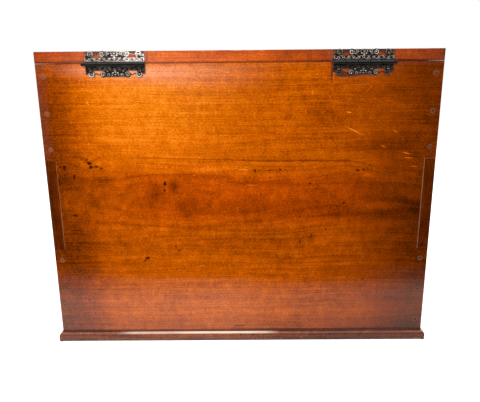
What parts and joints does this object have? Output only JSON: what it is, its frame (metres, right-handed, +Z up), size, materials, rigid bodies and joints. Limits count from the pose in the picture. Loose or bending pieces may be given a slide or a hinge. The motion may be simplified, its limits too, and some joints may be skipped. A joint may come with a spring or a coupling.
{
  "type": "apothecary box",
  "caption": "Tabletop wooden apothecary box with a hinged lid over a divided bottle well and small drawers below, held by finger joints, pegs and ornate cast hinges.",
  "frame": {"origin": "middle of the base board's underside, on the table", "axes": "+Z up, the drawers face -Y and the hinges are on the +Y side, +X is to the right as one faces the drawers"},
  "size_m": [0.543, 0.3257, 0.417],
  "materials": {
    "case_wood": "old glossy varnish",
    "base_wood": "worn varnish",
    "peg_wood": "end grain under varnish",
    "lining_wood": "bare, waxed",
    "knob_wood": "turned and polished",
    "iron_nails": "dull",
    "hinge_metal": "dark bronzed, worn bright on edges",
    "hinge_screw_metal": "worn",
    "lock_brass": "tarnished"
  },
  "bodies": {
    "case": {"base_board": "base_wood", "moulding_front": "base_wood", "moulding_back": "base_wood", "moulding_left": "base_wood", "moulding_right": "base_wood", "base_nails": "iron_nails", "back_board": "case_wood", "left_side": "case_wood", "right_side": "case_wood", "front_apron": "case_wood", "corner_pegs": "peg_wood", "well_floor": "lining_wood", "upper_shelf": "case_wood", "lower_shelf": "case_wood", "left_partition": "case_wood", "right_partition": "case_wood", "long_well_dividers": "lining_wood", "cross_well_dividers": "lining_wood", "left_hinge_case_leaf": "hinge_metal", "right_hinge_case_leaf": "hinge_metal", "hinge_pins": "hinge_metal", "case_hinge_screws": "hinge_screw_metal", "lock_case": "lock_brass", "keyhole_plate": "lock_brass", "lock_fixings": "lock_brass"},
    "lid": {"lid_board": "case_wood", "lid_battens": "case_wood", "lid_screws": "lock_brass", "left_hinge_lid_leaf": "hinge_metal", "right_hinge_lid_leaf": "hinge_metal", "lid_hinge_screws": "hinge_screw_metal", "link_plate": "lock_brass"},
    "lock_bolt": {"lock_bolt": "lock_brass"},
    "top_left_drawer": {"top_left_drawer_front": "case_wood", "top_left_drawer_box": "lining_wood", "top_left_drawer_knob": "knob_wood"},
    "top_centre_drawer": {"top_centre_drawer_front": "case_wood", "top_centre_drawer_box": "lining_wood", "top_centre_drawer_knob": "knob_wood"},
    "top_right_drawer": {"top_right_drawer_front": "case_wood", "top_right_drawer_box": "lining_wood", "top_right_drawer_knob": "knob_wood"},
    "middle_left_drawer": {"middle_left_drawer_front": "case_wood", "middle_left_drawer_box": "lining_wood", "middle_left_drawer_knob": "knob_wood"},
    "middle_centre_drawer": {"middle_centre_drawer_front": "case_wood", "middle_centre_drawer_box": "lining_wood", "middle_centre_drawer_knob": "knob_wood"},
    "middle_right_drawer": {"middle_right_drawer_front": "case_wood", "middle_right_drawer_box": "lining_wood", "middle_right_drawer_knob": "knob_wood"},
    "bottom_left_drawer": {"bottom_left_drawer_front": "case_wood", "bottom_left_drawer_box": "lining_wood", "bottom_left_drawer_knob": "knob_wood"},
    "bottom_centre_drawer": {"bottom_centre_drawer_front": "case_wood", "bottom_centre_drawer_box": "lining_wood", "bottom_centre_drawer_knob": "knob_wood"},
    "bottom_right_drawer": {"bottom_right_drawer_front": "case_wood", "bottom_right_drawer_box": "lining_wood", "bottom_right_drawer_knob": "knob_wood"}
  },
  "joints": [
    {"name": "lid_hinge", "type": "hinge", "parent": "case", "child": "lid", "pos_m": [0, 0.153, 0.4], "axis": [-1, 0, 0], "range_deg": [0, 180]},
    {"name": "lock_bolt_slide", "type": "slide", "parent": "case", "child": "lock_bolt", "axis": [-1, 0, 0], "range_m": [0, 0.007]},
    {"name": "top_left_drawer_slide", "type": "slide", "parent": "case", "child": "top_left_drawer", "axis": [0, -1, 0], "range_m": [0, 0.22]},
    {"name": "top_centre_drawer_slide", "type": "slide", "parent": "case", "child": "top_centre_drawer", "axis": [0, -1, 0], "range_m": [0, 0.22]},
    {"name": "top_right_drawer_slide", "type": "slide", "parent": "case", "child": "top_right_drawer", "axis": [0, -1, 0], "range_m": [0, 0.22]},
    {"name": "middle_left_drawer_slide", "type": "slide", "parent": "case", "child": "middle_left_drawer", "axis": [0, -1, 0], "range_m": [0, 0.22]},
    {"name": "middle_centre_drawer_slide", "type": "slide", "parent": "case", "child": "middle_centre_drawer", "axis": [0, -1, 0], "range_m": [0, 0.22]},
    {"name": "middle_right_drawer_slide", "type": "slide", "parent": "case", "child": "middle_right_drawer", "axis": [0, -1, 0], "range_m": [0, 0.22]},
    {"name": "bottom_left_drawer_slide", "type": "slide", "parent": "case", "child": "bottom_left_drawer", "axis": [0, -1, 0], "range_m": [0, 0.22]},
    {"name": "bottom_centre_drawer_slide", "type": "slide", "parent": "case", "child": "bottom_centre_drawer", "axis": [0, -1, 0], "range_m": [0, 0.22]},
    {"name": "bottom_right_drawer_slide", "type": "slide", "parent": "case", "child": "bottom_right_drawer", "axis": [0, -1, 0], "range_m": [0, 0.22]}
  ]
}
